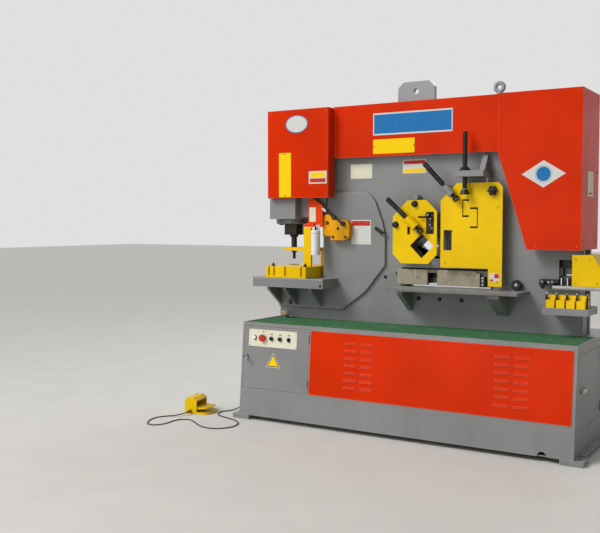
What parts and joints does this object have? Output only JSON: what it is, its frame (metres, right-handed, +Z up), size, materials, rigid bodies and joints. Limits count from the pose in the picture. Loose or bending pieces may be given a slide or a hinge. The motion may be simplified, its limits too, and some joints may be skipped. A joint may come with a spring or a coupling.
{
  "type": "hydraulic ironworker",
  "caption": "Floor-standing hydraulic ironworker with punch, angle, section and plate shears and a notcher on a leaning base cabinet, with a foot switch on a cord.",
  "frame": {"origin": "centre of the rectangle of the four anchor holes, on the floor", "axes": "+X along the machine from punch end to notcher end, -Y to the operator, +Z up"},
  "size_m": [3.2265, 1.7019, 2.632],
  "materials": {
    "grey_paint": "semi-gloss grey enamel, lightly soiled",
    "door_paint": "semi-gloss grey enamel",
    "red_paint": "gloss red enamel",
    "orange_paint": "gloss orange-red enamel",
    "yellow_paint": "gloss yellow enamel",
    "mat_green": "ribbed green rubber",
    "tool_steel": "ground tool steel, oiled",
    "black_steel": "blackened steel",
    "bright_steel": "bright steel",
    "chrome_part": "chromed",
    "cream_plate": "matt cream plate",
    "button_red": "gloss red plastic",
    "button_black": "black plastic",
    "white_can": "white plastic",
    "switchgear": "light grey plastic and zinc plate",
    "motor_paint": "blue-grey enamel",
    "cord_black": "dark rubber sheath"
  },
  "bodies": {
    "machine": {"base_cabinet": "grey_paint", "foot_plates": "grey_paint", "louvre_panel": "red_paint", "work_mat": "mat_green", "front_frame_plate": "grey_paint", "rear_frame_plate": "grey_paint", "frame_spacers": "grey_paint", "throat_cheeks": "grey_paint", "punch_head_cover": "red_paint", "beam_cover": "red_paint", "column_cover": "red_paint", "lifting_gear": "grey_paint", "ram_housing": "grey_paint", "punch_cylinder": "black_steel", "punch_table": "grey_paint", "die_block": "yellow_paint", "stripper": "yellow_paint", "stroke_plate": "orange_paint", "stroke_switch": "white_can", "lever_block": "yellow_paint", "angle_guard": "yellow_paint", "section_guard": "yellow_paint", "fixed_blades": "tool_steel", "shear_table": "grey_paint", "frame_bolts": "black_steel", "screw_brackets": "grey_paint", "notcher_table": "grey_paint", "notcher_gauges": "yellow_paint", "notcher_guard": "yellow_paint", "shear_cylinder": "black_steel", "oil_tank": "grey_paint", "motor_housing": "motor_paint", "hydraulic_pump": "black_steel", "hydraulic_pipes": "bright_steel", "electrical_panel": "switchgear", "foot_switch_base": "yellow_paint", "foot_switch_cord": "cord_black"},
    "cabinet_door": {"cabinet_door": "door_paint", "control_plate": "cream_plate"},
    "door_latch": {"door_latch": "chrome_part"},
    "estop_button": {"estop_button": "button_red"},
    "start_button": {"start_button": "button_black"},
    "stop_button": {"stop_button": "button_black"},
    "mode_selector": {"mode_selector": "button_black"},
    "side_door": {"side_door": "grey_paint"},
    "side_latch": {"side_latch": "chrome_part"},
    "punch_ram": {"punch_ram": "bright_steel", "punch_tool": "tool_steel"},
    "shear_slide": {"shear_slide": "black_steel", "moving_blades": "tool_steel"},
    "section_foot": {"section_foot": "black_steel"},
    "section_screw": {"section_screw": "black_steel"},
    "angle_foot": {"angle_foot": "black_steel"},
    "angle_screw": {"angle_screw": "black_steel"},
    "bar_foot": {"bar_foot": "black_steel"},
    "bar_screw": {"bar_screw": "black_steel"},
    "guard_knob": {"guard_knob": "button_black"},
    "stroke_lever": {"stroke_lever": "black_steel"},
    "foot_pedal": {"foot_pedal": "yellow_paint"},
    "motor_rotor": {"motor_rotor": "bright_steel"}
  },
  "joints": [
    {"name": "cabinet_door_hinge", "type": "hinge", "parent": "machine", "child": "cabinet_door", "pos_m": [-0.6885, -0.56084, 0.2546], "axis": [0, 0.0892, 0.996], "range_deg": [0, 100]},
    {"name": "door_latch_turn", "type": "hinge", "parent": "cabinet_door", "child": "door_latch", "pos_m": [-1.252, -0.53409, 0.4941], "axis": [0, -0.996, 0.0892], "range_deg": [0, 90]},
    {"name": "estop_press", "type": "slide", "parent": "cabinet_door", "child": "estop_button", "axis": [0, -0.996, 0.0892], "range_m": [-0.004, 0]},
    {"name": "start_press", "type": "slide", "parent": "cabinet_door", "child": "start_button", "axis": [0, -0.996, 0.0892], "range_m": [-0.003, 0], "stiffness_N_per_m": 300, "springref_m": 0.002},
    {"name": "stop_press", "type": "slide", "parent": "cabinet_door", "child": "stop_button", "axis": [0, -0.996, 0.0892], "range_m": [-0.003, 0], "stiffness_N_per_m": 300, "springref_m": 0.002},
    {"name": "mode_turn", "type": "hinge", "parent": "cabinet_door", "child": "mode_selector", "pos_m": [-0.868, -0.52054, 0.64543], "axis": [0, -0.996, 0.0892], "range_deg": [-45, 45]},
    {"name": "side_door_hinge", "type": "hinge", "parent": "machine", "child": "side_door", "pos_m": [1.3053, 0.1185, 0.445], "axis": [0, 0, 1], "range_deg": [0, 100]},
    {"name": "side_latch_turn", "type": "hinge", "parent": "side_door", "child": "side_latch", "pos_m": [1.3, -0.421, 0.455], "axis": [1, 0, 0], "range_deg": [0, 90]},
    {"name": "punch_stroke", "type": "slide", "parent": "machine", "child": "punch_ram", "axis": [0, 0, -1], "range_m": [0, 0.08]},
    {"name": "shear_stroke", "type": "slide", "parent": "machine", "child": "shear_slide", "axis": [0, 0, -1], "range_m": [0, 0.06]},
    {"name": "section_foot_travel", "type": "slide", "parent": "machine", "child": "section_foot", "axis": [0, 0, -1], "range_m": [0, 0.06]},
    {"name": "section_screw_turn", "type": "hinge", "parent": "section_foot", "child": "section_screw", "pos_m": [0.381, -0.112, 1.9], "axis": [0, 0, -1], "range_deg": [0, 3601]},
    {"name": "angle_foot_travel", "type": "slide", "parent": "machine", "child": "angle_foot", "axis": [0.7431, 0, -0.6691], "range_m": [-0.025, 0.01]},
    {"name": "angle_screw_turn", "type": "hinge", "parent": "angle_foot", "child": "angle_screw", "pos_m": [-0.04186, -0.106, 1.546], "axis": [0.7431, 0, -0.6691], "range_deg": [-1801, 721]},
    {"name": "bar_foot_travel", "type": "slide", "parent": "machine", "child": "bar_foot", "axis": [0.6884, 0, -0.7254], "range_m": [-0.025, 0.01]},
    {"name": "bar_screw_turn", "type": "hinge", "parent": "bar_foot", "child": "bar_screw", "pos_m": [0.24523, -0.106, 1.7887], "axis": [0.6884, 0, -0.7254], "range_deg": [-1801, 721]},
    {"name": "guard_knob_turn", "type": "hinge", "parent": "machine", "child": "guard_knob", "pos_m": [0.578, -0.08, 1.773], "axis": [0, -1, 0], "range_deg": [0, 360]},
    {"name": "stroke_lever_swing", "type": "hinge", "parent": "machine", "child": "stroke_lever", "pos_m": [-0.65, -0.07, 1.537], "axis": [0, 1, 0], "range_deg": [0, 12]},
    {"name": "foot_pedal_press", "type": "hinge", "parent": "machine", "child": "foot_pedal", "pos_m": [-1.75537, -0.56668, 0.042], "axis": [-0.2079, 0.9781, 0], "range_deg": [0, 8], "stiffness_Nm_per_rad": 10, "springref_deg": -34.38},
    {"name": "motor_spin", "type": "hinge", "parent": "machine", "child": "motor_rotor", "pos_m": [0.7, -0.09, 0.243], "axis": [1, 0, 0], "continuous": true}
  ],
  "couplings": [
    {"joint": "section_screw_turn", "follows": "section_foot_travel", "rad_per_m": 1047.2},
    {"joint": "angle_screw_turn", "follows": "angle_foot_travel", "rad_per_m": 1256.6},
    {"joint": "bar_screw_turn", "follows": "bar_foot_travel", "rad_per_m": 1256.6}
  ]
}
